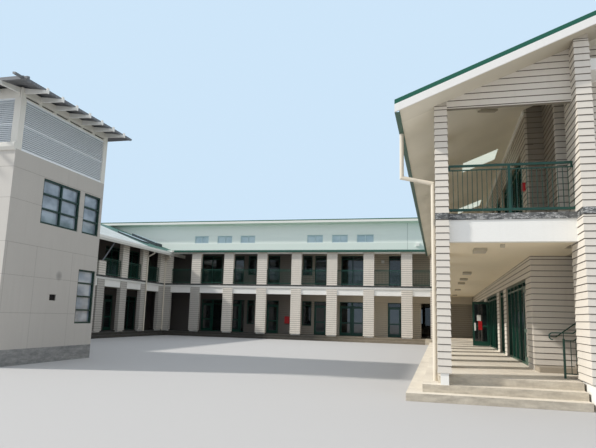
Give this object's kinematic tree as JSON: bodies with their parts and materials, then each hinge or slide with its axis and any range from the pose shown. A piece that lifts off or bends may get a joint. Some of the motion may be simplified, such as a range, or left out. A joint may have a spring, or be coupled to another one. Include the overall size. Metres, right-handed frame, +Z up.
{
  "type": "school building",
  "caption": "Two-storey school building round a court, with blade-pier verandahs, balconies with bar railings, metal roofs and a separate tower block with a fly roof.",
  "frame": {"origin": "centre of the footprint, at the ground", "axes": "+X to the right seen from the court's open side, +Y from the gable towards the back range, +Z up"},
  "size_m": [39.3, 37.85, 9.3],
  "materials": {
    "concrete": "painted concrete floor and step edges, weathered",
    "cream_pipe": "cream painted pipe",
    "fly_roof": "dark grey steel sheet",
    "fly_steel": "grey painted steel",
    "glass": "clear window glass",
    "green_frame": "dark green paint, satin",
    "green_gutter": "teal green painted gutter",
    "green_roof": "green coated steel roofing",
    "lead": "dull mottled dark grey lead",
    "louvre": "pale grey louvre blades",
    "pale_cladding": "pale grey-green flat cladding",
    "roof_light": "grey framed roof light",
    "stair_timber": "worn stair timber",
    "tower_panel": "pale beige-grey precast panels",
    "weatherboard": "horizontal weatherboards, warm off-white paint",
    "white_trim": "smooth white painted timber"
  },
  "bodies": {
    "building": {"clerestory_bands": "pale_cladding", "clerestory_panels": "pale_cladding", "court_balustrades": "green_frame", "door_frames": "green_frame", "downpipes": "cream_pipe", "eave_strut": "white_trim", "edge_beams": "white_trim", "end_canopy": "white_trim", "end_walls": "weatherboard", "floor_flashing": "lead", "frames_lower": "green_frame", "frames_upper": "green_frame", "gable_balustrade": "green_frame", "glass_lower": "glass", "glass_upper": "glass", "ground_floor": "concrete", "gutters": "green_gutter", "high_roof": "green_roof", "left_roof": "green_roof", "low_roof": "green_roof", "outer_frames": "green_frame", "outer_glass": "glass", "outer_wall_bands": "weatherboard", "outer_wall_panels": "weatherboard", "pier_bases": "white_trim", "piers_lower": "weatherboard", "piers_upper": "weatherboard", "right_roof": "green_roof", "roof_lights": "roof_light", "stair_rail": "green_frame", "stair_strings": "stair_timber", "stair_treads": "stair_timber", "steps": "concrete", "tower_east_wall": "tower_panel", "tower_floor": "concrete", "tower_louvres": "louvre", "tower_outriggers": "fly_steel", "tower_plate": "tower_panel", "tower_plinth": "concrete", "tower_purlins": "fly_steel", "tower_roof": "fly_roof", "tower_trim": "tower_panel", "tower_walls": "tower_panel", "upper_floor": "weatherboard", "verge_boards": "white_trim", "wall_heads": "weatherboard", "walls_lower": "weatherboard", "walls_upper": "weatherboard"},
    "back_door_a": {"back_door_a": "green_frame"},
    "back_door_b": {"back_door_b": "green_frame"},
    "back_door_c": {"back_door_c": "green_frame"},
    "back_door_d": {"back_door_d": "green_frame"},
    "back_door_e": {"back_door_e": "green_frame"},
    "back_door_f": {"back_door_f": "green_frame"},
    "back_door_g": {"back_door_g": "green_frame"},
    "left_door": {"left_door": "green_frame"},
    "right_door_near": {"right_door_near": "green_frame"},
    "right_door_open": {"right_door_open": "green_frame"}
  },
  "joints": [
    {"name": "back_door_a_hinge", "type": "hinge", "parent": "building", "child": "back_door_a", "pos_m": [-8.33, 12.235, 1.5], "axis": [0, 0, 1], "range_deg": [-100, 0]},
    {"name": "back_door_b_hinge", "type": "hinge", "parent": "building", "child": "back_door_b", "pos_m": [-5.93, 12.235, 1.5], "axis": [0, 0, 1], "range_deg": [-100, 0]},
    {"name": "back_door_c_hinge", "type": "hinge", "parent": "building", "child": "back_door_c", "pos_m": [-2.73, 12.235, 1.5], "axis": [0, 0, 1], "range_deg": [-100, 0]},
    {"name": "back_door_d_hinge", "type": "hinge", "parent": "building", "child": "back_door_d", "pos_m": [1.13, 12.235, 1.5], "axis": [0, 0, 1], "range_deg": [-100, 0]},
    {"name": "back_door_e_hinge", "type": "hinge", "parent": "building", "child": "back_door_e", "pos_m": [3.14, 12.235, 1.5], "axis": [0, 0, 1], "range_deg": [-100, 0]},
    {"name": "back_door_f_hinge", "type": "hinge", "parent": "building", "child": "back_door_f", "pos_m": [4.92, 12.235, 1.5], "axis": [0, 0, 1], "range_deg": [0, 100]},
    {"name": "back_door_g_hinge", "type": "hinge", "parent": "building", "child": "back_door_g", "pos_m": [6.82, 12.235, 1.5], "axis": [0, 0, 1], "range_deg": [-100, 0]},
    {"name": "left_door_hinge", "type": "hinge", "parent": "building", "child": "left_door", "pos_m": [-13.02, 5.495, 1.5], "axis": [0, 0, 1], "range_deg": [-100, 0]},
    {"name": "right_door_near_hinge", "type": "hinge", "parent": "building", "child": "right_door_near", "pos_m": [12.91, -14.055, 1.5], "axis": [0, 0, 1], "range_deg": [0, 100]},
    {"name": "right_door_open_hinge", "type": "hinge", "parent": "building", "child": "right_door_open", "pos_m": [12.91, -1.317, 1.5], "axis": [0, 0, 1], "range_deg": [-90, 0]}
  ]
}
